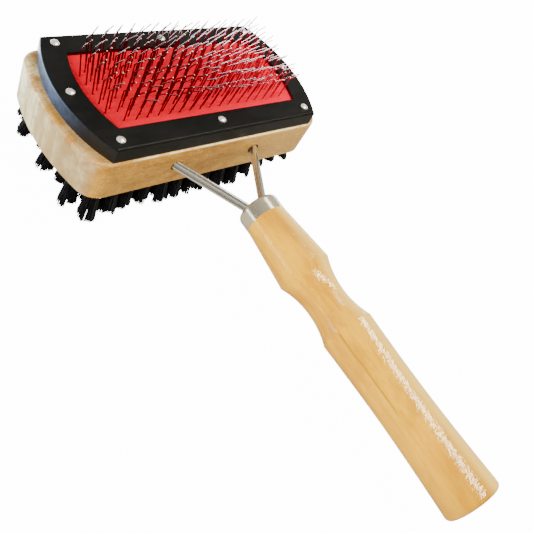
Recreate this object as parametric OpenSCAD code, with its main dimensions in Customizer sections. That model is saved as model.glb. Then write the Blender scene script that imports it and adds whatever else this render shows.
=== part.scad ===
// Two-sided grooming brush: bent wire pins on one face of a wooden head, bristle
// tufts on the other, two doubled wire prongs and a turned wooden handle.
// Origin: centre of the handle's butt face. +Y runs along the handle to the head,
// +X along the head, +Z out of the pin side.

/* [Handle] */
// Length of the turned handle, butt to nose
handle_len = 143.5; // [120:1:170]
// Radius of the grip at the butt
grip_r = 12.15; // [11:0.05:14]
// Radius of the grip at its front ring
ring_r = 11.6; // [10.5:0.05:13]
// Depth of the slight waist along the grip
grip_waist = 0.85; // [0:0.05:1.5]
// Radius of the crisp shoulder in front of the neck
shoulder_r = 12.1; // [11:0.05:14]
// Smallest radius of the hollow neck
neck_r = 8.9; // [7.5:0.05:10]
// Radius of the nose, inside the ferrule
nose_r = 9; // [8:0.05:10]
// Rounding of the butt's edge
butt_round = 2; // [0.5:0.1:4]

/* [Ferrule] */
// Length of the metal cap
ferrule_len = 7.7; // [6:0.1:12]
// Thickness of its metal
ferrule_wall = 0.5; // [0.3:0.05:1]
// Rounding of its front edge
ferrule_round = 1.8; // [1:0.1:3]
// Radius of the opening in its front
ferrule_mouth_r = 6.6; // [5.5:0.1:7.2]

/* [Prongs] */
// Diameter of the prong wire
wire_d = 2.3; // [1.8:0.1:2.4]
// Distance between the middles of a prong's two strands
strand_gap = 2.6; // [2.6:0.05:2.8]
// Distance from the centre line to where a prong enters the head
prong_x = 22.4; // [16:0.1:28]
// How far the prongs run down towards the bristle side
prong_drop = 1.4; // [0:0.1:2.4]
// Depth of the prong's hole in the head
prong_bite = 14; // [8:0.5:18]
// Length of prong wire held in the handle
tang_len = 24; // [15:0.5:30]

/* [Head] */
// Width of the head along the handle
block_w = 65.4; // [60:0.1:72]
// Length of the head across the handle
block_l = 136; // [130:0.5:146]
// Thickness of the wooden block
block_t = 20.5; // [18:0.1:26]
// Radius of the head's curved ends
block_end_r = 95; // [80:1:120]
// Radius of the head's corners in plan
block_corner_r = 9.5; // [6:0.1:12]
// Distance from the handle's axis up to the top of the block
block_top_z = 7.85; // [6:0.05:9]
// Distance from the butt to the centre of the head
head_y = 210; // [190:0.5:240]

/* [Frame] */
// Height of the black frame
frame_h = 7; // [6.5:0.1:8]
// Radius of the frame's curved ends
frame_end_r = 64.3; // [63:0.1:65]
// Width of the frame along the handle
frame_w = 63.5; // [62.5:0.1:64.5]
// Width of the frame's border
border = 10.5; // [9.5:0.1:11]
// Thickness of the lip over the pad's edge
lip_t = 1.5; // [1.2:0.1:2]
// How far the lip reaches in over the pad
lip_reach = 2.5; // [1.5:0.1:3]
// Rounding of the frame's outer edge
frame_round = 1; // [0.4:0.1:1.5]

/* [Pin pad] */
// Thickness of the rubber face
pad_t = 1.5; // [1.2:0.1:1.8]
// Thickness of the woven backing
backing_t = 1; // [0.8:0.1:1.2]
// Side clearance of the pad inside the frame
pad_clear = 0.5; // [0.3:0.05:1]
// Clearance between stacked soft layers
layer_gap = 0.05; // [0.02:0.01:0.08]

/* [Pins] */
// Diameter of the pin wire
pin_d = 0.5; // [0.35:0.05:0.6]
// Distance along the head between the two legs of one staple
leg_step_x = 3; // [2.5:0.1:3.5]
// Distance across the head between the two legs of one staple
leg_step_y = 1.9; // [1.5:0.1:2.3]
// Repeat of the staples along a row
staple_pitch = 5.47; // [5.2:0.01:7]
// Distance between rows of staples
row_pitch = 5.1; // [4.8:0.1:5.3]
// Number of rows
pin_rows = 7; // [3:2:7]
// Distance kept between the legs and the curved ends of the opening
pin_margin = 3; // [2.5:0.1:6]
// Height of the knee above the frame
knee_h = 11.5; // [9:0.1:13]
// Angle of the bent tip
knee_angle = 33; // [20:1:45]
// Radius of the bend
knee_r = 1.3; // [0.8:0.1:2]
// Length of the tip beyond the bend
tip_len = 6.6; // [4:0.1:7.5]
// Lean towards -X of the pins at both ends of the head
pin_sweep = 9; // [0:0.5:10]
// Lean of the outermost rows away from the head's centre line
pin_fan = 7.5; // [0:0.5:9]

/* [Nails] */
// Diameter of the nail heads
nail_head_d = 3.8; // [3.4:0.1:4.4]
// Height of the domed heads
nail_head_h = 1.1; // [0.8:0.1:1.4]
// Diameter of the nail shanks
nail_d = 1.4; // [1.2:0.1:1.6]
// Length of the nails under the head
nail_len = 15; // [12:0.5:16]

/* [Bristles] */
// Distance between tufts along the head
tuft_pitch_x = 8.4; // [8:0.1:10]
// Distance between rows of tufts
tuft_pitch_y = 8.6; // [7.8:0.1:8.8]
// Number of tuft rows
tuft_rows = 7; // [5:2:7]
// Diameter of the tuft holes
tuft_d = 3.6; // [3:0.1:4]
// Depth of the tuft holes
tuft_depth = 7; // [5:0.5:7.5]
// Length of bristle outside the wood
bristle_len = 15.5; // [12:0.5:18]
// Diameter of a tuft at its tips
tuft_tip_d = 6; // [4.5:0.1:6.5]
// Distance kept between the tuft holes and the block's edge
tuft_margin = 7; // [6.5:0.1:9]
// Outward lean of the outermost tufts
tuft_lean = 12; // [0:0.5:12]

/* [Hidden] */
$fn = 48;

// Facets of the big arcs and of the thin wires
arc_fn = 144;
wire_fn = 20;
// Overshoot of a cutter past the face that it cuts
cut = 1;

// Heights on the head
block_low_z = block_top_z - block_t;
frame_top_z = block_top_z + frame_h;
pad_top_z = frame_top_z - lip_t - layer_gap;
backing_top_z = pad_top_z - pad_t;
crown_z = backing_top_z - backing_t - pin_d / 2;
foam_top_z = crown_z - pin_d / 2 - layer_gap;
foam_low_z = block_top_z + layer_gap;

// The frame's opening
opening_r = frame_end_r - border;
opening_w = frame_w - 2 * border;

// Places along the handle, counted from the butt
ferrule_front_y = handle_len + 2.7;
ferrule_back_y = ferrule_front_y - ferrule_len;
shoulder_y = ferrule_back_y - 28.6;
neck_y = shoulder_y - 15.8;
ring_y = neck_y - 14.2;
ferrule_r = nose_r + ferrule_wall;

// The prongs: a strand's place in the handle's bore, the bend in front of the bore,
// and the straight line from there into the head
strand_x = strand_gap / 2;
bend_y = handle_len - 2.4;
face_y = head_y - block_w / 2;
span_dir = [prong_x - strand_x, face_y - bend_y, -prong_drop];
span_len = norm(span_dir);
bore_r = norm([strand_x, strand_gap / 2]) + wire_d / 2 + 0.06;
prong_hole_r = (strand_gap + wire_d) / 2 + 0.15;

// Turns +Z to the direction v; +X then points down when v is level
module along(v) {
    rotate([0, acos(v[2] / norm(v)), atan2(v[1], v[0])]) children();
}

// Stands a piece that was made round +Z on the handle's axis
module on_handle_axis() {
    rotate([-90, 0, 0]) children();
}

// ---------------------------------------------------------------- handle

neck_arc_r = 40;
neck_steps = 16;
grip_steps = 12;
butt_steps = 6;
nose_chamfer = 0.6;
flare_r = 4.9;
flare_depth = 4;

// The hollow neck, from the shoulder back to the grip's ring: one arc
neck_points = [for (i = [0:neck_steps])
    let (y = shoulder_y + (ring_y - shoulder_y) * i / neck_steps)
    [neck_r + neck_arc_r - sqrt(pow(neck_arc_r, 2) - pow(y - neck_y, 2)), y]];

// The grip, from the ring back to the butt's rounding: a line less a shallow waist
grip_points = [for (i = [0:grip_steps])
    let (t = i / grip_steps)
    [ring_r + (grip_r - ring_r) * t - grip_waist * sin(180 * t),
     ring_y + (butt_round - ring_y) * t]];

// The butt's rounded edge
butt_points = [for (i = [1:butt_steps])
    let (a = 90 * i / butt_steps)
    [grip_r - butt_round * (1 - cos(a)), butt_round * (1 - sin(a))]];

module handle_outline() {
    polygon(concat([[0, handle_len], [nose_r - nose_chamfer, handle_len],
                    [nose_r, handle_len - nose_chamfer], [nose_r, ferrule_back_y],
                    [ferrule_r - 0.1, ferrule_back_y], [shoulder_r, shoulder_y + 0.3]],
                   neck_points, grip_points, butt_points, [[0, 0]]));
}

module handle() {
    color("burlywood")
    on_handle_axis() difference() {
        rotate_extrude($fn = 96) handle_outline();
        translate([0, 0, handle_len - tang_len - cut]) cylinder(h = tang_len + 2 * cut, r = bore_r);
        translate([0, 0, handle_len - flare_depth])
            cylinder(h = flare_depth + 0.001, r1 = bore_r, r2 = flare_r);
    }
}

// ---------------------------------------------------------------- ferrule

// Cup profile: a rounded outer corner, and a wall of even thickness inside it
module cup_outline(r, len, round_r) {
    square([r - round_r, len]);
    square([r, len - round_r]);
    translate([r - round_r, len - round_r]) circle(round_r);
}

module ferrule() {
    color("silver")
    on_handle_axis() translate([0, 0, ferrule_back_y]) rotate_extrude($fn = 96) difference() {
        intersection() {
            cup_outline(ferrule_r, ferrule_len, ferrule_round);
            square([ferrule_r, ferrule_len]);
        }
        translate([0, -cut])
            cup_outline(nose_r, ferrule_len + cut - ferrule_wall, ferrule_round - ferrule_wall);
        square([ferrule_mouth_r, ferrule_len + cut]);
    }
}

// ---------------------------------------------------------------- prongs

// Ball that joins two lengths of wire, a hair larger than the wire
module wire_joint() {
    sphere(d = wire_d + 0.04);
}

// A hairpin of wire on the +X side: two ends in the handle's bore, the two strands of
// the span one above the other, and the closed end in the head
module prong() {
    $fn = wire_fn;
    translate([strand_x, bend_y, 0]) {
        for (side = [-1, 1]) translate([0, 0, side * strand_gap / 2]) {
            rotate([90, 0, 0]) cylinder(h = tang_len - (handle_len - bend_y), d = wire_d);
            wire_joint();
        }
        along(span_dir) {
            for (side = [0, 1]) mirror([side, 0, 0]) translate([-strand_gap / 2, 0, 0]) {
                cylinder(h = span_len + prong_bite - strand_gap, d = wire_d);
                translate([0, 0, span_len + prong_bite - strand_gap]) wire_joint();
            }
            translate([0, 0, span_len + prong_bite - strand_gap]) rotate([90, 0, 0])
                rotate_extrude(angle = 180, $fn = 48) translate([strand_gap / 2, 0])
                    circle(d = wire_d, $fn = wire_fn);
        }
    }
}

module right_prong() {
    color("gray") prong();
}

module left_prong() {
    color("gray") mirror([1, 0, 0]) prong();
}

// ---------------------------------------------------------------- wooden head

// Centres of the curved end and of a corner in plan, and the angle where they meet
end_x = block_l / 2 - block_end_r;
corner_y = block_w / 2 - block_corner_r;
corner_x = end_x + sqrt(pow(block_end_r - block_corner_r, 2) - pow(corner_y, 2));
meet_angle = atan2(corner_y, corner_x - end_x);

function arc_points(centre, r, from, to, steps) =
    [for (i = [0:steps]) let (a = from + (to - from) * i / steps) centre + r * [cos(a), sin(a)]];

// The +X half of the block's outline: corner, curved end, corner
corner_steps = 12;
end_steps = 28;
half_outline = concat(
    arc_points([corner_x, -corner_y], block_corner_r, -90, -meet_angle, corner_steps),
    arc_points([end_x, 0], block_end_r, -meet_angle * 0.93, meet_angle * 0.93, end_steps),
    arc_points([corner_x, corner_y], block_corner_r, meet_angle, 90, corner_steps));

module block_solid() {
    linear_extrude(block_t) polygon(concat(half_outline, -half_outline));
}

// Bores for the prongs' closed ends
module prong_holes() {
    for (side = [0, 1]) mirror([side, 0, 0]) translate([strand_x, bend_y, 0]) along(span_dir)
        translate([0, 0, span_len - 4]) cylinder(h = prong_bite + 4.5, r = prong_hole_r);
}

module head_block() {
    color("tan")
    difference() {
        translate([0, head_y, block_low_z]) block_solid();
        prong_holes();
        at_nails() translate([0, 0, -nail_len - 0.2]) cylinder(h = nail_len + cut, d = nail_d, $fn = wire_fn);
        at_tufts() translate([0, 0, -cut]) cylinder(h = tuft_depth + cut, d = tuft_d, $fn = 24);
    }
}

// ---------------------------------------------------------------- frame and pad

// Plan of the frame's opening, grown outwards by grow
module opening_plan(grow) {
    translate([0, head_y]) intersection() {
        circle(opening_r + grow, $fn = arc_fn);
        square([2 * frame_end_r, opening_w + 2 * grow], center = true);
    }
}

// Upright band with its upper edges rounded
module rounded_band(half_w, h) {
    translate([-half_w, 0]) square([2 * half_w, h - frame_round]);
    translate([-half_w + frame_round, 0]) square([2 * (half_w - frame_round), h]);
    for (side = [-1, 1]) translate([side * (half_w - frame_round), h - frame_round])
        circle(frame_round, $fn = 24);
}

module frame_outer() {
    translate([0, head_y, block_top_z]) intersection() {
        rotate_extrude($fn = arc_fn) intersection() {
            rounded_band(frame_end_r, frame_h);
            square([frame_end_r, frame_h]);
        }
        translate([-frame_end_r, 0, 0]) rotate([90, 0, 90])
            linear_extrude(2 * frame_end_r) rounded_band(frame_w / 2, frame_h);
    }
}

module retaining_frame() {
    color([0.13, 0.13, 0.14])
    difference() {
        frame_outer();
        translate([0, 0, block_top_z - cut]) linear_extrude(frame_h + 2 * cut) opening_plan(0);
        translate([0, 0, block_top_z - cut]) linear_extrude(frame_h - lip_t + cut) opening_plan(lip_reach);
        at_nails() translate([0, 0, -frame_h - cut])
            cylinder(h = frame_h + 2 * cut, d = nail_d, $fn = wire_fn);
    }
}

module pad_layer(low_z, top_z) {
    translate([0, 0, low_z]) linear_extrude(top_z - low_z) opening_plan(lip_reach - pad_clear);
}

module pin_pad() {
    color([0.85, 0.12, 0.16]) pad_layer(backing_top_z, pad_top_z);
}

module pin_backing() {
    color([0.55, 0.5, 0.45]) pad_layer(backing_top_z - backing_t, backing_top_z);
}

module foam_underlay() {
    color([0.9, 0.88, 0.8]) pad_layer(foam_low_z, foam_top_z);
}

// ---------------------------------------------------------------- pins

// Plan position of a staple's second leg, counted from its first
leg_step = [leg_step_x, leg_step_y];
// Distance of the outermost legs from the head's centre, along it and across it
pin_reach_x = opening_r - pin_margin;
pin_reach_y = ((pin_rows - 1) * row_pitch + leg_step_y) / 2;

// Every staple's first leg, from the head's centre, where both legs fit in the opening
row_mid = (pin_rows - 1) / 2;
staple_starts = [for (row = [0:pin_rows - 1], i = [-9:9])
    let (start = [i * staple_pitch, (row - row_mid) * row_pitch - leg_step_y / 2])
    if (norm(start) < pin_reach_x && norm(start + leg_step) < pin_reach_x) start];

leg_len = frame_top_z + knee_h - crown_z;
crown_angle = atan2(leg_step_y, leg_step_x);
// Ball at the foot of a leg, a hair larger than the wire
foot_d = pin_d + 0.02;

// A straight leg whose tip bends towards -Y
module pin_leg() {
    cylinder(h = leg_len, d = pin_d);
    translate([0, -knee_r, leg_len]) rotate([90, 0, 90]) {
        rotate_extrude(angle = knee_angle, $fn = 72) translate([knee_r, 0]) circle(d = pin_d, $fn = 16);
        rotate([0, 0, knee_angle]) translate([knee_r, 0, 0]) rotate([-90, 0, 0])
            cylinder(h = tip_len, d = pin_d);
    }
}

// One wire: the crown under the backing and a leg at each end. The legs' lean depends
// on where they stand
module staple(start) {
    $fn = 16;
    translate([start[0], start[1], 0]) rotate([0, 90, crown_angle]) cylinder(h = norm(leg_step), d = pin_d);
    for (foot = [start, start + leg_step]) translate([foot[0], foot[1], 0]) {
        sphere(d = foot_d);
        rotate([-pin_fan * foot[1] / pin_reach_y, -pin_sweep * pow(foot[0] / pin_reach_x, 2), 0]) pin_leg();
    }
}

module slicker_pins() {
    color("dimgray")
    translate([0, head_y, crown_z]) for (start = staple_starts) staple(start);
}

// ---------------------------------------------------------------- nails

nail_point = 2;
// Nails in the +X +Y quarter: a corner, the middle of the end, the middle of the side
nail_places = [[51.9, 27], [59.05, 0], [0, 25.8]];

module at_nails() {
    for (place = nail_places, mx = [-1, 1], my = [-1, 1])
        if ((place[0] > 0 || mx > 0) && (place[1] > 0 || my > 0))
            translate([mx * place[0], head_y + my * place[1], frame_top_z]) children();
}

module nail() {
    head_r = nail_head_d / 2;
    dome_r = (pow(head_r, 2) + pow(nail_head_h, 2)) / (2 * nail_head_h);
    intersection() {
        translate([0, 0, nail_head_h - dome_r]) sphere(dome_r);
        cylinder(h = nail_head_h, r = dome_r + cut);
    }
    translate([0, 0, -nail_len + nail_point]) cylinder(h = nail_len - nail_point, d = nail_d, $fn = wire_fn);
    translate([0, 0, -nail_len]) cylinder(h = nail_point, r1 = 0.1, r2 = nail_d / 2, $fn = wire_fn);
}

module frame_nails() {
    color("silver") at_nails() nail();
}

// ---------------------------------------------------------------- bristles

tuft_mid = (tuft_rows - 1) / 2;
// How far the leaning part of a tuft starts inside its hole, and how much thinner
// than the hole it is there
tuft_root = 0.6;
tuft_neck = 0.9;

// Half the length of a tuft row that lies y off the head's centre line
function tuft_reach(y) = end_x + sqrt(pow(block_end_r - tuft_margin, 2) - y * y);

// Alternate rows are shifted by half a pitch
tuft_places = [for (row = [0:tuft_rows - 1], i = [-9:9])
    let (y = (row - tuft_mid) * tuft_pitch_y,
         shift = (row - tuft_mid) % 2 == 0 ? 0 : tuft_pitch_x / 2,
         x = i * tuft_pitch_x + shift)
    if (abs(x) < tuft_reach(y)) [x, y]];

module at_tufts() {
    for (place = tuft_places) translate([place[0], head_y + place[1], block_low_z]) children();
}

// A tuft in its hole, leaning outwards below the wood by the two angles
module tuft(lean_x, lean_y) {
    $fn = 24;
    cylinder(h = tuft_depth, d = tuft_d);
    rotate([180 - lean_y, lean_x, 0]) translate([0, 0, -tuft_root])
        cylinder(h = bristle_len + tuft_root, d1 = tuft_d - tuft_neck, d2 = tuft_tip_d);
}

module bristle_tufts() {
    color([0.06, 0.06, 0.07])
    for (place = tuft_places) translate([place[0], head_y + place[1], block_low_z])
        tuft(-tuft_lean * place[0] / (block_l / 2), -tuft_lean * place[1] / (block_w / 2));
}

anchor_size = [tuft_d + 0.8, 0.4, 1.6];
anchor_cover = 2;

module tuft_anchors() {
    color("goldenrod")
    at_tufts() translate([0, 0, tuft_depth - anchor_cover]) cube(anchor_size, center = true);
}

head_block();
retaining_frame();
pin_pad();
pin_backing();
foam_underlay();
slicker_pins();
frame_nails();
bristle_tufts();
tuft_anchors();
left_prong();
right_prong();
ferrule();
handle();
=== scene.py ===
import math
import random

import bpy
from mathutils import Euler, Matrix, Vector


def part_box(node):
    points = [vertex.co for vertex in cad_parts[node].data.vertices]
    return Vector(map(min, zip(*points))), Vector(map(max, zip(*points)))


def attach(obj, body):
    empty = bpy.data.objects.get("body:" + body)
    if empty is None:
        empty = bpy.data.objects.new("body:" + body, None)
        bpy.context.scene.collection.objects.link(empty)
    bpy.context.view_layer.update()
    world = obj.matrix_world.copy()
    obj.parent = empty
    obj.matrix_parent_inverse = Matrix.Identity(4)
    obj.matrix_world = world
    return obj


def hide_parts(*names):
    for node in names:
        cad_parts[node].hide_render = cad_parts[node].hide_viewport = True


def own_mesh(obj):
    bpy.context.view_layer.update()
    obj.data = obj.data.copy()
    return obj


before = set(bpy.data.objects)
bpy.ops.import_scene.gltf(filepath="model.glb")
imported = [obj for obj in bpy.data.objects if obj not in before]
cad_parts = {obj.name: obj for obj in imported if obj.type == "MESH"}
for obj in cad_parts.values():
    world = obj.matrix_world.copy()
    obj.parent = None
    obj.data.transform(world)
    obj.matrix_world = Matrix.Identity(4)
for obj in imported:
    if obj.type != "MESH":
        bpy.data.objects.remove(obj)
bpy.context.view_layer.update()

MM = 0.001


# ------------------------------------------------------------------ places from the frame

BLOCK_LOW, BLOCK_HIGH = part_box("head_block")
PAD_LOW, PAD_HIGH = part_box("pin_pad")
BACKING_LOW, BACKING_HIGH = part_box("pin_backing")
FOAM_LOW, FOAM_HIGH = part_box("foam_underlay")
RIM_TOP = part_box("retaining_frame")[1].z
TUFTS_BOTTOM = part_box("bristle_tufts")[0].z
HEAD = Vector(((BLOCK_LOW.x + BLOCK_HIGH.x) / 2, (BLOCK_LOW.y + BLOCK_HIGH.y) / 2, RIM_TOP))
HALF_LENGTH = (BLOCK_HIGH.x - BLOCK_LOW.x) / 2
HALF_WIDTH = (BLOCK_HIGH.y - BLOCK_LOW.y) / 2
# The crisp ring between the handle's neck and its grip
RING_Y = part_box("ferrule")[0].y - 58.6 * MM


# ------------------------------------------------------------------ colours, linear RGB

BEECH_LIGHT = (0.57, 0.29, 0.035)
BEECH_DARK = (0.33, 0.14, 0.012)
# Painted light on the head's long sides towards +X
BEECH_PAINTED_LIGHT = (1.0, 0.66, 0.20)
# Painted highlight on the rounded near top edge of the head
BEECH_PAINTED_HIGHLIGHT = (1.0, 0.92, 0.60)
END_PALE = (1.0, 0.95, 0.60)
END_STAIN = (0.60, 0.50, 0.25)
END_SHADE = (0.33, 0.21, 0.085)
HANDLE_LIGHT = (0.80, 0.405, 0.0)
HANDLE_DARK = (0.58, 0.255, 0.0)
# Painted light on the handle's side that faces +X
HANDLE_PAINTED_LIGHT = (1.0, 0.66, 0.12)
FRAME_BLACK = (0.0045, 0.0045, 0.0045)
FRAME_SMEAR = (0.01055, 0.01055, 0.01055)
FRAME_SCUFF = (0.10, 0.10, 0.105)
# Painted bluish reflection on the frame's -X flank
FRAME_PAINTED_REFLECTION = (0.05, 0.10, 0.20)
PAD_RED = (0.70, 0.0, 0.020)
# Painted light: the pad's brighter red towards +X
PAD_PAINTED_LIGHT = (0.86, 0.0, 0.034)
CLOTH_LIGHT = (0.55, 0.50, 0.42)
CLOTH_DARK = (0.30, 0.26, 0.2)
FOAM_LIGHT = (0.85, 0.82, 0.72)
FOAM_DARK = (0.5, 0.46, 0.36)
TARNISH = (0.30, 0.24, 0.17)
# Painted shade and reddish reflection on the pins
PIN_PAINTED_SHADE = (0.085, 0.035, 0.03)
PIN_BRIGHT = (0.85, 0.83, 0.83)
# Painted glints on the pins' cut ends, with painted shade towards -X
CUT_PAINTED_SHADE = (0.45, 0.38, 0.35)
CUT_PAINTED_GLINT = (0.95, 0.93, 0.90)
NAIL_BRIGHT = (0.97, 0.96, 0.94)
# Painted contact shadow at the foot of the nail domes
NAIL_PAINTED_SHADOW = (0.03, 0.025, 0.02)
PRONG_STEEL = (0.86, 0.84, 0.76)
ANCHOR_BRASS = (0.80, 0.62, 0.30)
FERRULE_NICKEL = (0.88, 0.79, 0.58)
BRISTLE_BLACK = (0.004, 0.004, 0.005)
BRISTLE_GREY = (0.022, 0.021, 0.026)
FLOOR_GREY = (0.30, 0.30, 0.30)
FLOOR_MIRRORED = (0.80, 0.90, 1.0)
WHITE = (1.0, 1.0, 1.0)
DAYLIGHT = (1.0, 0.97, 0.92)
LAMPLIGHT = (1.0, 0.90, 0.62)


# ------------------------------------------------------------------ materials

class Shader:
    """A node material under construction. Sockets are passed around as values."""

    def __init__(self, name):
        self.material = bpy.data.materials.new(name)
        self.material.use_nodes = True
        self.tree = self.material.node_tree
        self.tree.nodes.clear()
        self.bsdf = self.add("ShaderNodeBsdfPrincipled")
        self.output = self.add("ShaderNodeOutputMaterial")
        self.feed(self.output.inputs["Surface"], self.bsdf.outputs["BSDF"])
        self.place = self.add("ShaderNodeTexCoord").outputs["Object"]
        self.x, self.y, self.z = self.split(self.place)
        self.normal = self.add("ShaderNodeNewGeometry").outputs["Normal"]
        self.normal_x, self.normal_y, self.normal_z = self.split(self.normal)

    def add(self, kind, **settings):
        node = self.tree.nodes.new(kind)
        for key, value in settings.items():
            setattr(node, key, value)
        return node

    def feed(self, socket, value):
        if isinstance(value, bpy.types.NodeSocket):
            self.tree.links.new(value, socket)
        elif isinstance(value, tuple) and len(value) == 3 and socket.type == "RGBA":
            socket.default_value = (*value, 1)
        else:
            socket.default_value = value

    def set(self, **inputs):
        for key, value in inputs.items():
            self.feed(self.bsdf.inputs[key.replace("_", " ")], value)

    def split(self, vector):
        node = self.add("ShaderNodeSeparateXYZ")
        self.feed(node.inputs[0], vector)
        return tuple(node.outputs)

    def scaled_place(self, scale):
        """Object coordinates multiplied by scale, in features per metre on each axis."""
        node = self.add("ShaderNodeVectorMath", operation="MULTIPLY")
        self.feed(node.inputs[0], self.place)
        node.inputs[1].default_value = scale
        return node.outputs[0]

    def noise(self, scale, detail=3.0, roughness=0.5, distortion=0.0):
        node = self.add("ShaderNodeTexNoise")
        self.feed(node.inputs["Vector"], self.scaled_place(scale))
        node.inputs["Scale"].default_value = 1.0
        node.inputs["Detail"].default_value = detail
        node.inputs["Roughness"].default_value = roughness
        node.inputs["Distortion"].default_value = distortion
        return node.outputs["Fac"]

    def cells(self, scale):
        """Distance from the nearest of many scattered points."""
        node = self.add("ShaderNodeTexVoronoi")
        self.feed(node.inputs["Vector"], self.scaled_place(scale))
        node.inputs["Scale"].default_value = 1.0
        return node.outputs["Distance"]

    def math(self, operation, a, b=0.0):
        node = self.add("ShaderNodeMath", operation=operation)
        self.feed(node.inputs[0], a)
        self.feed(node.inputs[1], b)
        return node.outputs[0]

    def times(self, *values):
        product = values[0]
        for value in values[1:]:
            product = self.math("MULTIPLY", product, value)
        return product

    def span(self, value, low, high, to_low=0.0, to_high=1.0):
        """value from low..high to to_low..to_high, smoothly, clamped."""
        node = self.add("ShaderNodeMapRange", interpolation_type="SMOOTHSTEP")
        self.feed(node.inputs["Value"], value)
        node.inputs["From Min"].default_value = low
        node.inputs["From Max"].default_value = high
        node.inputs["To Min"].default_value = to_low
        node.inputs["To Max"].default_value = to_high
        return node.outputs["Result"]

    def mix(self, factor, a, b):
        """Colour a where factor is 0, b where it is 1."""
        node = self.add("ShaderNodeMix", data_type="RGBA")
        self.feed(node.inputs[0], factor)
        self.feed(node.inputs[6], a)
        self.feed(node.inputs[7], b)
        return node.outputs[2]

    def dot(self, vector, direction):
        node = self.add("ShaderNodeVectorMath", operation="DOT_PRODUCT")
        self.feed(node.inputs[0], vector)
        node.inputs[1].default_value = direction
        return node.outputs["Value"]

    def bump(self, height, distance, strength=1.0, under=None):
        node = self.add("ShaderNodeBump")
        node.inputs["Strength"].default_value = strength
        node.inputs["Distance"].default_value = distance
        self.feed(node.inputs["Height"], height)
        if under is not None:
            self.feed(node.inputs["Normal"], under)
        return node.outputs["Normal"]


def along(axis, on_axis, across):
    """Scale vector with one value along the grain and another across it."""
    return tuple(on_axis if i == axis else across for i in range(3))


def dimmed(colour, factor):
    return tuple(c * factor for c in colour)


def grained(s, grain, light, dark):
    """Long-grain colour of wood whose fibres run along one axis (0 = X, 1 = Y)."""
    figure = s.noise(along(grain, 22, 75), 5, 0.6, 0.7)
    streak = s.noise(along(grain, 26, 620), 4, 0.6, 0.3)
    fleck = s.span(s.noise(along(grain, 230, 1300), 2, 0.5), 0.60, 0.74)
    tone = s.math("ADD", s.times(figure, 0.65), s.times(streak, 0.35))
    colour = s.mix(s.span(tone, 0.38, 0.62), dark, light)
    return s.mix(s.times(fleck, 0.35), colour, dimmed(dark, 0.5))


def side_wood(s, grit):
    """The head's long sides: mottled grain along X, specked low down, with painted light brightening them
    towards +X.
    """
    colour = grained(s, 0, BEECH_LIGHT, BEECH_DARK)
    mottle = s.noise((190, 190, 330), 5, 0.7, 0.5)
    colour = s.mix(s.span(mottle, 0.46, 0.64, 0.0, 0.75), colour, dimmed(BEECH_DARK, 1.15))
    colour = s.mix(s.span(mottle, 0.30, 0.44, 0.7, 0.0), colour, dimmed(BEECH_LIGHT, 1.45))
    # Painted light: the long sides get brighter towards +X.
    colour = s.mix(s.span(s.x, 0.0, 40 * MM, 0.0, 0.36), colour, BEECH_PAINTED_LIGHT)
    colour = s.mix(s.span(grit, 0.50, 0.66, 0.0, 0.45), colour, dimmed(BEECH_DARK, 0.8))
    colour = s.mix(s.span(grit, 0.36, 0.48, 0.35, 0.0), colour, dimmed(BEECH_LIGHT, 1.5))
    speck = s.span(s.cells((380, 380, 480)), 0.06, 0.22, 1.0, 0.0)
    low_down = s.span(s.z, BLOCK_LOW.z + 2 * MM, BLOCK_HIGH.z, 0.7, 0.2)
    return s.mix(s.times(speck, low_down), colour, dimmed(BEECH_DARK, 0.6))


def end_wood(s, grit):
    """The head's curved ends: pale with upright stains, shaded towards -Y, warm spots at the top."""
    bands = s.noise((70, 170, 14), 4, 0.65, 0.5)
    colour = s.mix(s.span(bands, 0.42, 0.58), END_STAIN, END_PALE)
    patch = s.span(s.noise((150, 150, 110), 5, 0.7, 0.6), 0.50, 0.62, 0.0, 0.55)
    colour = s.mix(patch, colour, dimmed(END_STAIN, 0.75))
    colour = s.mix(s.span(grit, 0.50, 0.66, 0.0, 0.3), colour, dimmed(END_STAIN, 0.6))
    clouds = s.noise((110, 110, 110), 4, 0.65)
    nearness = s.span(s.y, HEAD.y - 24 * MM, HEAD.y + 25 * MM, 1.0, 0.0)
    colour = s.mix(s.times(nearness, s.span(clouds, 0.3, 0.6, 0.65, 1.0)), colour, END_SHADE)
    at_top = s.span(s.z, BLOCK_HIGH.z - 5 * MM, BLOCK_HIGH.z - 1 * MM)
    return s.mix(s.times(at_top, s.span(clouds, 0.50, 0.62, 0.0, 0.8)), colour, BEECH_DARK)


def end_mask(s):
    """1 on the curved ends, about half on the ledge beside the frame there."""
    from_middle = s.math("ABSOLUTE", s.x)
    ledge = s.times(s.span(s.normal_z, 0.5, 0.9), s.span(from_middle, 50 * MM, 60 * MM, 0.0, 0.55))
    return s.math("MAXIMUM", s.span(s.math("ABSOLUTE", s.normal_x), 0.45, 0.95), ledge)


def painted_highlight_mask(s):
    """Where a broken painted highlight lies along the rounded upper edge of the near side."""
    rounded = s.times(s.span(s.normal_z, 0.46, 0.66), s.span(s.normal_z, 0.76, 0.90, 1.0, 0.0))
    near_side = s.span(s.normal_y, -0.6, -0.3, 1.0, 0.0)
    rightward = s.span(s.x, -52 * MM, -36 * MM, 0.15, 1.0)
    broken = s.span(s.noise((160, 160, 160), 3, 0.6), 0.35, 0.52, 0.3, 1.0)
    return s.times(rounded, near_side, rightward, broken)


def head_wood():
    """Lacquered beech."""
    s = Shader("head_wood")
    grit = s.noise((1000, 800, 1500), 3, 0.7)
    colour = s.mix(end_mask(s), side_wood(s, grit), end_wood(s, grit))
    # Painted highlight along the rounded near top edge.
    colour = s.mix(painted_highlight_mask(s), colour, BEECH_PAINTED_HIGHLIGHT)
    fibre = s.bump(s.noise(along(0, 90, 2400), 2, 0.6), 0.00006, 0.4)
    ripple = s.bump(s.noise((300, 420, 420), 3, 0.55), 0.00025, 0.5, fibre)
    s.set(Base_Color=colour, Roughness=0.55, Specular_IOR_Level=0.2, Normal=ripple,
          Coat_Weight=0.5, Coat_Roughness=0.25, Coat_Normal=ripple)
    return s.material


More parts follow.
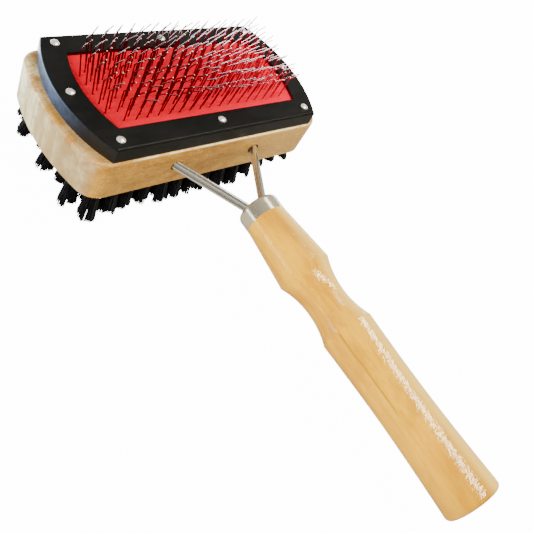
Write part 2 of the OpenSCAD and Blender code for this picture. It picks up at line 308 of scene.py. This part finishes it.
def crack_mask(s):
    """One dark line of grain that runs back along the grip from the ring."""
    angle = math.radians(-61) - 0.05
    start = RING_Y - 42 * MM
    end = RING_Y - 0.5 * MM
    turn = s.math("ARCTAN2", s.x, s.z)
    wander = s.times(s.noise((0, 60, 0), 2, 0.5), 0.10)
    off = s.math("ABSOLUTE", s.math("SUBTRACT", turn, s.math("ADD", wander, angle)))
    return s.times(s.span(off, 0.015, 0.05, 1.0, 0.0), s.span(s.y, start, start + 12 * MM),
                   s.span(s.y, end - 1 * MM, end, 1.0, 0.0))


def handle_wood():
    """Turned wood under thick pebbled lacquer, with painted shade darkening the butt and painted light
    paling the side that faces +X.
    """
    s = Shader("handle_wood")
    colour = grained(s, 1, HANDLE_LIGHT, HANDLE_DARK)
    colour = s.mix(s.times(crack_mask(s), 0.6), colour, dimmed(HANDLE_DARK, 0.35))
    cloud = s.span(s.noise((90, 40, 90), 5, 0.7, 0.5), 0.48, 0.66, 0.0, 0.5)
    colour = s.mix(cloud, colour, dimmed(HANDLE_DARK, 0.8))
    # Painted shade: darker towards the butt.
    colour = s.mix(s.span(s.y, 0.0, 34 * MM, 0.5, 0.0), colour, dimmed(HANDLE_DARK, 0.7))
    # Painted light: paler where the surface faces +X.
    colour = s.mix(s.span(s.normal_x, -0.26, 0.22, 0.0, 0.8), colour, HANDLE_PAINTED_LIGHT)
    fibre = s.noise(along(1, 160, 1500), 3, 0.65)
    pebble = s.noise((950, 600, 950), 2, 0.5)
    coat = s.bump(pebble, 0.00023, 0.55, s.bump(fibre, 0.00009, 0.3))
    s.set(Base_Color=colour, Roughness=0.5, Specular_IOR_Level=0.0, Normal=coat,
          Coat_Weight=1.0, Coat_Roughness=0.05, Coat_IOR=1.6, Coat_Normal=coat)
    return s.material


def frame_plastic():
    """Black moulded plastic, dull on top. Its -X flank is shinier, with a painted bluish reflection far
    back.
    """
    s = Shader("frame_plastic")
    smear = s.noise((45, 120, 60), 4, 0.6, 0.4)
    scuff = s.span(s.noise((2600, 260, 600), 3, 0.6), 0.66, 0.8)
    tint = s.mix(s.span(smear, 0.35, 0.75, 0.0, 0.5), FRAME_BLACK, FRAME_SMEAR)
    tint = s.mix(s.times(scuff, 0.12), tint, FRAME_SCUFF)
    flank = s.times(s.span(s.normal_x, -0.95, -0.6, 1.0, 0.0), s.span(s.x, -10 * MM, 0.0, 1.0, 0.0))
    far_back = s.span(s.y, HEAD.y - 22 * MM, HEAD.y + 18 * MM)
    patchy = s.span(s.noise((260, 260, 500), 4, 0.7), 0.36, 0.62, 0.45, 1.0)
    # Painted bluish reflection on the far back of the -X flank.
    tint = s.mix(s.times(far_back, patchy, flank), tint, FRAME_PAINTED_REFLECTION)
    rough = s.math("ADD", s.span(smear, 0.3, 0.8, 0.28, 0.42), s.times(scuff, 0.15))
    peel = s.noise((900, 900, 900), 3, 0.55)
    s.set(Base_Color=tint, Roughness=rough, Specular_IOR_Level=s.span(flank, 0, 1, 0.11, 0.3),
          Normal=s.bump(peel, 0.00004, 0.45))
    return s.material


def pad_rubber():
    """Matt rubber, with painted light making it a brighter red towards +X."""
    s = Shader("pad_rubber")
    skin_grain = s.noise((1500, 1500, 1500), 3, 0.6)
    cloud = s.noise((60, 90, 60), 4, 0.6)
    # Painted light: brighter red towards +X.
    base = s.mix(s.span(s.x, -45 * MM, 55 * MM), PAD_RED, PAD_PAINTED_LIGHT)
    tint = s.mix(s.span(cloud, 0.3, 0.7, 0.0, 0.22), base, dimmed(PAD_RED, 0.7))
    s.set(Base_Color=tint, Roughness=s.span(skin_grain, 0.3, 0.7, 0.6, 0.8), Specular_IOR_Level=0.02,
          Normal=s.bump(skin_grain, 0.00006, 0.6))
    return s.material


def metal(name, colour, rough, drawn=None, spots=0.3, relief=0.35, metallic=1.0):
    """Metal with soft tarnish, small pits and fine lines along the axis in which it was drawn.

    rough = lowest and highest roughness. Returns the shader, with its tint and roughness sockets.
    """
    s = Shader(name)
    lines = s.noise((900, 900, 900) if drawn is None else along(drawn, 60, 5200), 3, 0.6)
    stain = s.noise((260, 260, 260), 4, 0.65, 0.3)
    pit = s.span(s.cells((1700, 1700, 1700)), 0.0, 0.16, 1.0, 0.0)
    worn = s.times(s.span(stain, 0.52, 0.78), spots)
    s.tint = s.mix(s.times(pit, relief), s.mix(worn, colour, TARNISH), dimmed(TARNISH, 0.4))
    s.rough = s.math("ADD", s.span(lines, 0.3, 0.7, *rough), s.times(worn, 0.25))
    s.set(Base_Color=s.tint, Metallic=metallic, Roughness=s.rough, Normal=s.bump(lines, 0.00002, relief))
    return s


def pin_wire():
    """Tempered wire with painted shade and reflection: darker and reddish towards -X and on the legs. The
    cut ends are painted bright as glints, dimmer towards -X.
    """
    s = metal("pin_wire", PIN_BRIGHT, (0.14, 0.26), drawn=2, spots=0.25, relief=0.2)
    # Painted shade and reflection: darker and reddish towards -X.
    wire = s.mix(s.span(s.x, -22 * MM, 40 * MM), PIN_PAINTED_SHADE, s.tint)
    # Painted shade on the legs below the knees.
    wire = s.mix(s.span(s.z, HEAD.z + 7 * MM, HEAD.z + 12 * MM, 0.6, 0.0), wire, PIN_PAINTED_SHADE)
    cut = s.span(s.dot(s.normal, TIP_FACING), 0.90, 0.95)
    # Painted glints on the cut ends, with painted shade towards -X.
    end = s.mix(s.span(s.x, -30 * MM, 10 * MM), CUT_PAINTED_SHADE, CUT_PAINTED_GLINT)
    s.set(Base_Color=s.mix(cut, wire, end), Roughness=s.math("MAXIMUM", s.rough, s.times(cut, 0.55)))
    return s.material


def nail_nickel():
    """Bright domes with a painted contact shadow where they meet the frame."""
    s = metal("nail_nickel", NAIL_BRIGHT, (0.24, 0.32), spots=0.05, relief=0.05)
    # Painted contact shadow round the foot of each dome.
    painted_shadow = s.span(s.z, RIM_TOP + 0.1 * MM, RIM_TOP + 0.5 * MM, 1.0, 0.0)
    s.set(Base_Color=s.mix(painted_shadow, s.tint, NAIL_PAINTED_SHADOW), Metallic=0.7)
    return s.material


def prong_wire():
    return metal("prong_wire", PRONG_STEEL, (0.12, 0.18), drawn=1, spots=0.15, relief=0.03,
                 metallic=0.94).material


def ferrule_nickel():
    return metal("nickel", FERRULE_NICKEL, (0.16, 0.22), spots=0.15, relief=0.03, metallic=0.90).material


def anchor_wire():
    return metal("anchor_wire", ANCHOR_BRASS, (0.25, 0.4), drawn=0).material


def bristle_fibre():
    s = Shader("bristle")
    run = s.noise((1200, 1200, 160), 3, 0.6)
    tint = s.mix(s.span(run, 0.35, 0.75, 0.0, 0.5), BRISTLE_BLACK, BRISTLE_GREY)
    s.set(Base_Color=tint, Roughness=s.span(run, 0.3, 0.7, 0.4, 0.6), Specular_IOR_Level=0.25,
          Normal=s.bump(run, 0.00003, 0.4))
    return s.material


def backing_cloth():
    """Plain weave that repeats every millimetre."""
    s = Shader("backing_cloth")
    waves = 2 * math.pi / (1 * MM)
    warp = s.math("SINE", s.times(s.x, waves))
    weft = s.math("SINE", s.times(s.y, waves))
    weave = s.span(s.times(warp, weft), -1, 1)
    fuzz = s.noise((3000, 3000, 3000), 3, 0.6)
    tint = s.mix(weave, CLOTH_DARK, CLOTH_LIGHT)
    tint = s.mix(s.times(fuzz, 0.3), tint, CLOTH_DARK)
    height = s.math("ADD", weave, s.times(fuzz, 0.4))
    s.set(Base_Color=tint, Roughness=0.85, Sheen_Weight=0.3, Normal=s.bump(height, 0.0002, 0.6))
    return s.material


def open_foam():
    s = Shader("underlay_foam")
    cell = s.cells((1400, 1400, 1400))
    tint = s.mix(s.span(cell, 0.1, 0.6), FOAM_DARK, FOAM_LIGHT)
    s.set(Base_Color=tint, Roughness=0.9, Subsurface_Weight=0.1, Subsurface_Radius=(0.002, 0.002, 0.001),
          Normal=s.bump(cell, 0.0004, 0.7))
    return s.material


# ------------------------------------------------------------------ mesh tools

def smooth(mesh, angle):
    """Smooth shading except at edges sharper than angle degrees."""
    mesh.shade_smooth()
    mesh.set_sharp_from_angle(angle=math.radians(angle))


def mesh_piece(name, vertices, faces, material, body, smooth_angle=35):
    """A finished piece that rides on a body."""
    mesh = bpy.data.meshes.new(name)
    mesh.from_pydata([tuple(v) for v in vertices], [], faces)
    mesh.validate()
    mesh.materials.append(material)
    smooth(mesh, smooth_angle)
    piece = bpy.data.objects.new(name, mesh)
    bpy.context.scene.collection.objects.link(piece)
    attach(piece, body)
    return piece


def add_ring(points, vertices):
    """Adds the points as vertices and returns their numbers."""
    start = len(vertices)
    vertices.extend(points)
    return list(range(start, len(vertices)))


def skin(rings):
    """Quads between each closed ring of vertex numbers and the next."""
    faces = []
    for first, second in zip(rings, rings[1:]):
        count = len(first)
        for i in range(count):
            k = (i + 1) % count
            faces.append((first[i], first[k], second[k], second[i]))
    return faces


def closed_skin(rings):
    return skin(rings) + [tuple(reversed(rings[0])), tuple(rings[-1])]


def tube(path, radii, sides, vertices, faces):
    """Adds a closed tube along path, one radius per point, with a steady twist-free section."""
    tangents = []
    for i in range(len(path)):
        ahead = path[min(i + 1, len(path) - 1)] - path[max(i - 1, 0)]
        tangents.append(ahead.normalized())
    side = tangents[0].orthogonal().normalized()
    angles = [2 * math.pi * k / sides for k in range(sides)]
    rings = []
    for point, tangent, radius in zip(path, tangents, radii):
        side = (side - tangent * side.dot(tangent)).normalized()
        other = tangent.cross(side)
        section = [point + (side * math.cos(a) + other * math.sin(a)) * radius for a in angles]
        rings.append(add_ring(section, vertices))
    faces.extend(closed_skin(rings))


def corners(points):
    """Lowest and highest corner of a set of points."""
    return (Vector([min(p[i] for p in points) for i in range(3)]),
            Vector([max(p[i] for p in points) for i in range(3)]))


def middle_of(points):
    """Plan position of the middle of the points' box."""
    low, high = corners(points)
    return (low.x + high.x) / 2, (low.y + high.y) / 2


def islands(node):
    """Vertex positions of each separate solid of a CAD node, in order of Y, then X."""
    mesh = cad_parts[node].data
    parent = {}

    def find(key):
        while parent[key] != key:
            parent[key] = parent[parent[key]]
            key = parent[key]
        return key

    keys = [tuple(round(c * 1e6) for c in v.co) for v in mesh.vertices]
    for key in keys:
        parent.setdefault(key, key)
    for edge in mesh.edges:
        a, b = find(keys[edge.vertices[0]]), find(keys[edge.vertices[1]])
        if a != b:
            parent[a] = b
    found = {}
    for key, vertex in zip(keys, mesh.vertices):
        found.setdefault(find(key), []).append(vertex.co)
    return sorted(found.values(), key=lambda points: tuple(round(c, 5) for c in corners(points)[0].yx))


# ------------------------------------------------------------------ pins

PIN_RADIUS = 0.25 * MM
PIN_SIDES = 10
FOOT_RADIUS = 0.26 * MM
KNEE_RADIUS = 1.3 * MM
KNEE_HEIGHT = 11.5 * MM
KNEE_STEPS = 5
TIP_LENGTH = 6.6 * MM
REACH_X = 50.8 * MM
REACH_Y = 16.25 * MM
# Degrees: bend at the knee, lean at both ends of the head, lean of the outer rows
KNEE_ANGLE = 33
SWEEP = 9
FAN = 7.5
# Scatter of the knee's angle, the leg's lean and its twist in degrees, and of the leg's length
KNEE_SCATTER = 3.5
LEAN_SCATTER = 1.3
TWIST_SCATTER = 8
LEG_SCATTER = 0.25 * MM
# Mean direction that the pins' cut ends face
TIP_FACING = (-0.07, -0.56, 0.825)


def staple_feet():
    """Centres of the two feet of every staple."""
    feet = []
    for points in islands("slicker_pins"):
        floor_z = min(p.z for p in points)
        low, high = corners([p for p in points if p.z < floor_z + 2 * FOOT_RADIUS])
        z = floor_z + FOOT_RADIUS
        feet.append((Vector((low.x + FOOT_RADIUS, low.y + FOOT_RADIUS, z)),
                     Vector((high.x - FOOT_RADIUS, high.y - FOOT_RADIUS, z))))
    return feet


def pin_path(foot, rng):
    """From the tip down to the foot: tip, bend, straight leg."""
    angle = math.radians(KNEE_ANGLE + rng.gauss(0, KNEE_SCATTER))
    leg = HEAD.z + KNEE_HEIGHT - foot.z - abs(rng.gauss(0, LEG_SCATTER))
    bend = [Vector((0, 0, 0)), Vector((0, 0, leg))]
    for i in range(1, KNEE_STEPS + 1):
        a = angle * i / KNEE_STEPS
        bend.append(bend[1] + Vector((0, -KNEE_RADIUS * (1 - math.cos(a)), KNEE_RADIUS * math.sin(a))))
    direction = Vector((0, -math.sin(angle), math.cos(angle)))
    bend.append(bend[-1] + direction * TIP_LENGTH * rng.uniform(0.94, 1.0))
    across = (foot.x - HEAD.x) / REACH_X
    out = (foot.y - HEAD.y) / REACH_Y
    lean_y = math.radians(-FAN * out + rng.gauss(0, LEAN_SCATTER))
    lean_x = math.radians(-SWEEP * across ** 2 + rng.gauss(0, LEAN_SCATTER))
    twist = Matrix.Rotation(math.radians(rng.gauss(0, TWIST_SCATTER)), 3, "Z")
    turn = Euler((lean_y, lean_x, 0)).to_matrix() @ twist
    return [foot + turn @ p for p in reversed(bend)]


def build_pins(feet):
    rng = random.Random(11)
    vertices, faces = [], []
    for first, second in feet:
        path = pin_path(first, rng) + pin_path(second, rng)[::-1]
        tube(path, [PIN_RADIUS] * len(path), PIN_SIDES, vertices, faces)
    pins = mesh_piece("slicker_pins_wire", vertices, faces, pin_wire(), "pin_field", 50)
    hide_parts("slicker_pins")


# ------------------------------------------------------------------ pad, backing, foam

# Columns and rows of the pad's grid, fine enough for the pucker round each pin
PAD_GRID = ((330, 138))
# The pucker, in mm: its lip's height, place and width, and its dimple's depth and width
LIP_RISE = 0.10
LIP_RADIUS = 0.75
LIP_WIDTH = 0.3
DIMPLE_DEPTH = 0.28
DIMPLE_WIDTH = 0.42


def slab(low, high, columns, rows, lift=None):
    """Closed slab with curved ends inside the box low..high; lift(x, y) raises its upper face."""
    half_width = (high.y - low.y) / 2
    end_radius = (high.x - low.x) / 2
    vertices, faces = [], []
    index = {}
    for level, z in ((0, low.z), (1, high.z)):
        for j in range(rows + 1):
            off = half_width * (2 * j / rows - 1)
            half_length = math.sqrt(end_radius ** 2 - off ** 2)
            for i in range(columns + 1):
                x, y = half_length * (2 * i / columns - 1), HEAD.y + off
                rise = lift(x, y) if level and lift else 0.0
                index[level, i, j] = len(vertices)
                vertices.append((x, y, z + rise))
    for j in range(rows):
        for i in range(columns):
            cell = ((i, j), (i + 1, j), (i + 1, j + 1), (i, j + 1))
            faces.append(tuple(index[(0, *corner)] for corner in reversed(cell)))
            faces.append(tuple(index[(1, *corner)] for corner in cell))
    rim = [(i, 0) for i in range(columns)] + [(columns, j) for j in range(rows)]
    rim += [(i, rows) for i in range(columns, 0, -1)] + [(0, j) for j in range(rows, 0, -1)]
    for a, b in zip(rim, rim[1:] + rim[:1]):
        faces.append((index[(0, *a)], index[(0, *b)], index[(1, *b)], index[(1, *a)]))
    return vertices, faces


def pucker_round(feet):
    """Height function: a shallow dimple with a raised lip round each pin."""
    cell = 3 * MM
    near = {}
    for foot in (f for pair in feet for f in pair):
        for di in (-1, 0, 1):
            for dj in (-1, 0, 1):
                near.setdefault((round(foot.x / cell) + di, round(foot.y / cell) + dj), []).append(foot)

    def pucker(x, y):
        rise = 0.0
        for foot in near.get((round(x / cell), round(y / cell)), ()):
            d = math.hypot(x - foot.x, y - foot.y) / MM
            rise += LIP_RISE * math.exp(-((d - LIP_RADIUS) / LIP_WIDTH) ** 2)
            rise -= DIMPLE_DEPTH * math.exp(-(d / DIMPLE_WIDTH) ** 2)
        return rise * MM

    return pucker


def build_pad(feet):
    vertices, faces = slab(PAD_LOW, PAD_HIGH, *PAD_GRID, lift=pucker_round(feet))
    pad = mesh_piece("pin_pad_rubber", vertices, faces, pad_rubber(), "pin_field", 60)
    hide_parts("pin_pad")
    vertices, faces = slab(BACKING_LOW, BACKING_HIGH, 60, 24)
    backing = mesh_piece("pin_backing_cloth", vertices, faces, backing_cloth(), "pin_field")
    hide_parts("pin_backing")
    vertices, faces = slab(FOAM_LOW, FOAM_HIGH, 80, 32)
    foam = mesh_piece("foam_underlay_slab", vertices, faces, open_foam(), "brush")
    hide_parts("foam_underlay")
    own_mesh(foam)


# ------------------------------------------------------------------ bristles

BRISTLE_LENGTH = 15.5 * MM
ROOT_DEPTH = 1.5 * MM
TUFT_LEAN = math.radians(12)
TUFT_HOLE = 1.6 * MM
TUFT_SPREAD = 4.2 * MM
FIBRES = 130
GOLDEN_ANGLE = 2.399963
# Each lock's place in its tuft, as a share of the tuft's radius, and the slant of its cut
LOCKS = 3
LOCK_PLACE = 0.55
LOCK_SLANT = 1.6 * MM
# Towards +X the tufts are worn: from here, over this length, down to this share
WORN_FROM = 24 * MM
WORN_OVER = 20 * MM
WORN_SHARE = 0.5
# Shares of a fibre's length and, at that depth, of its spread
FLARE = ((0.0, 0.0), (0.3, 0.5), (1.0, 1.0))


def polar(angle, radius):
    return Vector((math.cos(angle), math.sin(angle))) * radius


def build_bristles():
    """Every tuft is a bundle of fibres in a few locks, each lock cut at its own slant."""
    rng = random.Random(5)
    longest = BRISTLE_LENGTH + ROOT_DEPTH
    vertices, faces = [], []
    for points in islands("tuft_anchors"):
        root = Vector((*middle_of(points), BLOCK_LOW.z + ROOT_DEPTH))
        lean = Vector(((root.x - HEAD.x) / HALF_LENGTH, (root.y - HEAD.y) / HALF_WIDTH)) * TUFT_LEAN
        lean += Vector((rng.gauss(0, 0.035), rng.gauss(0, 0.035)))
        worn = 1 - (1 - WORN_SHARE) * min(max((root.x - HEAD.x - WORN_FROM) / WORN_OVER, 0), 1)
        first_angle = rng.uniform(0, 2 * math.pi)
        locks = []
        for i in range(LOCKS):
            centre = polar(first_angle + i * 2 * math.pi / LOCKS, LOCK_PLACE)
            share = rng.uniform(0.84, 1.0) * worn
            locks.append((centre, share, Vector((rng.uniform(-1, 1), rng.uniform(-1, 1))) * LOCK_SLANT))
        for k in range(FIBRES):
            off = polar(k * GOLDEN_ANGLE, math.sqrt((k + 0.5) / FIBRES))
            centre, share, slant = min(locks, key=lambda lock: (lock[0] - off).length)
            drop = min(longest * share * rng.uniform(0.97, 1.0) + (off - centre).dot(slant), longest)
            gathered = centre * 1.05 + (off - centre) * rng.uniform(0.8, 0.95)
            start, end = off * TUFT_HOLE, gathered * TUFT_SPREAD + lean * drop
            path = []
            for depth, spread in FLARE:
                plan = start.lerp(end, spread)
                path.append(root + Vector((plan.x, plan.y, -drop * depth)))
            tube(path, [rng.uniform(0.21, 0.28) * MM] * len(path), 3, vertices, faces)
    bristles = mesh_piece("bristle_fibres", vertices, faces, bristle_fibre(), "brush", 50)
    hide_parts("bristle_tufts")


# ------------------------------------------------------------------ wooden head

HEAD_END_RADIUS = 95 * MM
HEAD_CORNER_RADIUS = 9.5 * MM
ROUND_TOP = 1.9 * MM
ROUND_LOW = 1.1 * MM
ROUND_STEPS = 6
# Tuft hole with its countersink: heights above the underside and radii, in mm
TUFT_HOLE_PROFILE = ((-1.0, 2.6), (0.0, 2.1), (0.25, 1.85), (6.0, 1.85))
BORE_RADIUS = 2.65 * MM
BORE_SPARE = 2.8 * MM


def head_outline(inset):
    """Plan of the head drawn in by inset: two long sides, two curved ends, round corners."""
    end_x = HALF_LENGTH - HEAD_END_RADIUS
    corner_y = HALF_WIDTH - HEAD_CORNER_RADIUS
    corner_x = end_x + math.sqrt((HEAD_END_RADIUS - HEAD_CORNER_RADIUS) ** 2 - corner_y ** 2)
    meet = math.atan2(corner_y, corner_x - end_x)
    half = []

    def arc(cx, cy, radius, start, stop, steps, first=1):
        for i in range(first, steps + 1):
            a = start + (stop - start) * i / steps
            half.append((cx + (radius - inset) * math.cos(a), cy + (radius - inset) * math.sin(a)))

    arc(corner_x, -corner_y, HEAD_CORNER_RADIUS, -math.pi / 2, -meet, 14, first=0)
    arc(end_x, 0, HEAD_END_RADIUS, -meet, meet, 36)
    arc(corner_x, corner_y, HEAD_CORNER_RADIUS, meet, math.pi / 2, 14)
    points = half + [(-x, -y) for x, y in half]
    return [(HEAD.x + x, HEAD.y + y) for x, y in points]


def head_shell():
    angles = [math.pi / 2 * i / ROUND_STEPS for i in range(ROUND_STEPS + 1)]
    levels = [(ROUND_LOW * (1 - math.sin(a)), BLOCK_LOW.z + ROUND_LOW * (1 - math.cos(a))) for a in angles]
    levels += [(ROUND_TOP * (1 - math.cos(a)), BLOCK_HIGH.z - ROUND_TOP * (1 - math.sin(a))) for a in angles]
    vertices = []
    rings = [add_ring([(x, y, z) for x, y in head_outline(inset)], vertices) for inset, z in levels]
    return vertices, closed_skin(rings)


def prong_line(node):
    """Both ends of the middle line of a prong's straight span, from its long edges."""
    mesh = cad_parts[node].data
    starts, stops = [], []
    for edge in mesh.edges:
        start, stop = sorted((mesh.vertices[i].co for i in edge.vertices), key=lambda co: co.y)
        if (stop - start).length > 40 * MM:
            starts.append(start)
            stops.append(stop)
    return sum(starts, Vector()) / len(starts), sum(stops, Vector()) / len(stops)


def cutters():
    """Tuft holes with a small countersink, and the two prong bores."""
    vertices, faces = [], []
    for points in islands("tuft_anchors"):
        x, y = middle_of(points)
        path = [Vector((x, y, BLOCK_LOW.z + height * MM)) for height, radius in TUFT_HOLE_PROFILE]
        tube(path, [radius * MM for height, radius in TUFT_HOLE_PROFILE], 20, vertices, faces)
    for node in ("left_prong", "right_prong"):
        bend, closed_end = prong_line(node)
        direction = (closed_end - bend).normalized()
        face = bend + direction * ((BLOCK_LOW.y - bend.y) / direction.y)
        path = [face - direction * 6 * MM, face + direction * 8 * MM, closed_end + direction * BORE_SPARE]
        tube(path, [BORE_RADIUS] * len(path), 28, vertices, faces)
    return vertices, faces


def build_head():
    vertices, faces = head_shell()
    head = mesh_piece("head_block_wood", vertices, faces, head_wood(), "brush", 30)
    vertices, faces = cutters()
    mesh = bpy.data.meshes.new("cutters")
    mesh.from_pydata([tuple(v) for v in vertices], [], faces)
    tool = bpy.data.objects.new("cutters", mesh)
    bpy.context.scene.collection.objects.link(tool)
    modifier = head.modifiers.new("holes", "BOOLEAN")
    modifier.operation = "DIFFERENCE"
    modifier.solver = "EXACT"
    modifier.object = tool
    bpy.context.view_layer.update()
    holed = bpy.data.meshes.new_from_object(head.evaluated_get(bpy.context.evaluated_depsgraph_get()))
    head.modifiers.clear()
    head.data = holed
    smooth(holed, 30)
    bpy.data.objects.remove(tool)
    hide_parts("head_block")


# ------------------------------------------------------------------ nails

NAIL_SIDES = 40
DOME_STEPS = 9
NAIL_RIM = 0.15 * MM
SHANK_RADIUS = 0.7 * MM
POINT_RADIUS = 0.1 * MM
POINT_LENGTH = 2 * MM


def nail_profile(radius, point_z, crown_z):
    """Radius and height from the point up the shank and round the dome, short of the crown."""
    dome_low = RIM_TOP + NAIL_RIM
    profile = [(POINT_RADIUS, point_z), (SHANK_RADIUS, point_z + POINT_LENGTH), (SHANK_RADIUS, RIM_TOP),
               (radius, RIM_TOP), (radius, dome_low)]
    for i in range(1, DOME_STEPS):
        a = math.pi / 2 * i / DOME_STEPS
        profile.append((radius * math.cos(a), dome_low + (crown_z - dome_low) * math.sin(a)))
    return profile


def build_nails():
    """Domed heads on their shanks, one lathe-turned nail at each place."""
    vertices, faces = [], []
    angles = [2 * math.pi * k / NAIL_SIDES for k in range(NAIL_SIDES)]
    for points in islands("frame_nails"):
        low, high = corners(points)
        x, y = middle_of(points)
        rings = []
        for r, z in nail_profile((high.x - low.x) / 2, low.z, high.z):
            rings.append(add_ring([(x + r * math.cos(a), y + r * math.sin(a), z) for a in angles], vertices))
        faces.extend(skin(rings))
        faces.append(tuple(reversed(rings[0])))
        top = rings[-1]
        crown = len(vertices)
        vertices.append((x, y, high.z))
        faces.extend((top[k], top[(k + 1) % NAIL_SIDES], crown) for k in range(NAIL_SIDES))
    nails = mesh_piece("frame_nails_domed", vertices, faces, nail_nickel(), "brush", 40)
    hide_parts("frame_nails")


# ------------------------------------------------------------------ CAD nodes shown as they are

def finish_cad(node, material, angle=30):
    """Gives a CAD node its material and smooth shading; its mesh stays as it is."""
    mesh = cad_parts[node].data
    mesh.materials.clear()
    mesh.materials.append(material)
    smooth(mesh, angle)


def finish_cad_nodes():
    finish_cad("retaining_frame", frame_plastic())
    finish_cad("tuft_anchors", anchor_wire())
    prong = prong_wire()
    finish_cad("left_prong", prong, 50)
    finish_cad("right_prong", prong, 50)
    finish_cad("ferrule", ferrule_nickel(), 40)
    finish_cad("handle", handle_wood(), 12)


# ------------------------------------------------------------------ stage

FLOOR_WHITE = 14.0
FAR_FLOOR = 9.0
FLOOR_SIZE = 4.0


def build_floor():
    """Pale paper, clear from below: white to the camera, mirrored only beyond the head."""
    square = [(-FLOOR_SIZE, -FLOOR_SIZE), (FLOOR_SIZE, -FLOOR_SIZE), (FLOOR_SIZE, FLOOR_SIZE),
              (-FLOOR_SIZE, FLOOR_SIZE)]
    mesh = bpy.data.meshes.new("floor")
    mesh.from_pydata([(x, y, TUFTS_BOTTOM - 1 * MM) for x, y in square], [], [(0, 1, 2, 3)])
    floor = bpy.data.objects.new("floor", mesh)
    bpy.context.scene.collection.objects.link(floor)
    s = Shader("floor_paper")
    path = s.add("ShaderNodeLightPath").outputs
    beyond = s.span(s.y, HEAD.y + 30 * MM, HEAD.y + 110 * MM, 0.0, FAR_FLOOR)
    glow = s.math("ADD", s.times(path["Is Camera Ray"], FLOOR_WHITE), s.times(path["Is Glossy Ray"], beyond))
    s.set(Base_Color=FLOOR_GREY, Roughness=0.9, Specular_IOR_Level=0.0,
          Emission_Color=s.mix(path["Is Glossy Ray"], WHITE, FLOOR_MIRRORED), Emission_Strength=glow)
    facing = s.add("ShaderNodeMixShader")
    s.feed(facing.inputs[0], s.add("ShaderNodeNewGeometry").outputs["Backfacing"])
    s.feed(facing.inputs[1], s.bsdf.outputs["BSDF"])
    s.feed(facing.inputs[2], s.add("ShaderNodeBsdfTransparent").outputs["BSDF"])
    s.feed(s.output.inputs["Surface"], facing.outputs["Shader"])
    mesh.materials.append(s.material)


def build_world():
    """A dim room, brighter towards the far right, and white to the camera."""
    world = bpy.data.worlds.new("studio")
    world.use_nodes = True
    nodes, links = world.node_tree.nodes, world.node_tree.links
    background = nodes["Background"]
    background.inputs["Color"].default_value = (*DAYLIGHT, 1)
    dot = nodes.new("ShaderNodeVectorMath")
    dot.operation = "DOT_PRODUCT"
    links.new(nodes.new("ShaderNodeTexCoord").outputs["Generated"], dot.inputs[0])
    dot.inputs[1].default_value = (0.6, 0.75, 0.2)
    bright = nodes.new("ShaderNodeMapRange")
    links.new(dot.outputs["Value"], bright.inputs["Value"])
    bright.inputs["From Min"].default_value = -0.3
    bright.inputs["From Max"].default_value = 0.9
    bright.inputs["To Min"].default_value = 0.10
    bright.inputs["To Max"].default_value = 0.55
    strength = nodes.new("ShaderNodeMix")
    links.new(nodes.new("ShaderNodeLightPath").outputs["Is Camera Ray"], strength.inputs[0])
    links.new(bright.outputs["Result"], strength.inputs[2])
    strength.inputs[3].default_value = FLOOR_WHITE
    links.new(strength.outputs[0], background.inputs["Strength"])
    bpy.context.scene.world = world


def softbox(name, place, target, size, power, colour=WHITE, roll=0.0, mirrored=True):
    """Rectangular light that faces target; power in watts, roll in degrees."""
    data = bpy.data.lights.new(name, "AREA")
    data.shape = "RECTANGLE"
    data.size, data.size_y = size
    data.energy = power
    data.color = colour
    lamp = bpy.data.objects.new(name, data)
    lamp.location = place
    aim = (Vector(target) - Vector(place)).to_track_quat("-Z", "Y").to_matrix()
    lamp.rotation_euler = (aim @ Matrix.Rotation(math.radians(roll), 3, "Z")).to_euler()
    lamp.visible_glossy = mirrored
    bpy.context.scene.collection.objects.link(lamp)


def build_lights():
    """A window on the left, a slanting strip and a small spot overhead, a low fill on the right."""
    softbox("window", (-1.05, 0.0, 0.34), (0, 0.16, 0), (0.8, 0.7), 33, DAYLIGHT, mirrored=False)
    softbox("strip", (0.32, 0.05, 0.75), (0.32, 0.05, 0), (1.0, 0.08), 10.5, LAMPLIGHT, roll=20)
    softbox("spot", (0.32, 0.33, 0.75), (0.0, 0.15, 0), (0.22, 0.22), 1.3)
    softbox("fill", (0.75, 0.06, 0.11), (0, 0.06, 0.0), (0.9, 0.40), 11.0, mirrored=False)


def build_camera():
    """Above the head's near left corner, turned so that the handle runs to the lower right."""
    data = bpy.data.cameras.new("camera")
    data.sensor_width = 36
    data.lens = 42.79
    data.clip_start = 0.01
    camera = bpy.data.objects.new("camera", data)
    camera.location = HEAD + Vector((-0.18176, -0.16193, 0.16997))
    camera.rotation_euler = [math.radians(a) for a in (37.777, -25.214, -38.197)]
    bpy.context.scene.collection.objects.link(camera)
    bpy.context.scene.camera = camera


def main():
    feet = staple_feet()
    build_head()
    build_pad(feet)
    build_pins(feet)
    build_bristles()
    build_nails()
    finish_cad_nodes()
    build_floor()
    build_world()
    build_lights()
    build_camera()


main()
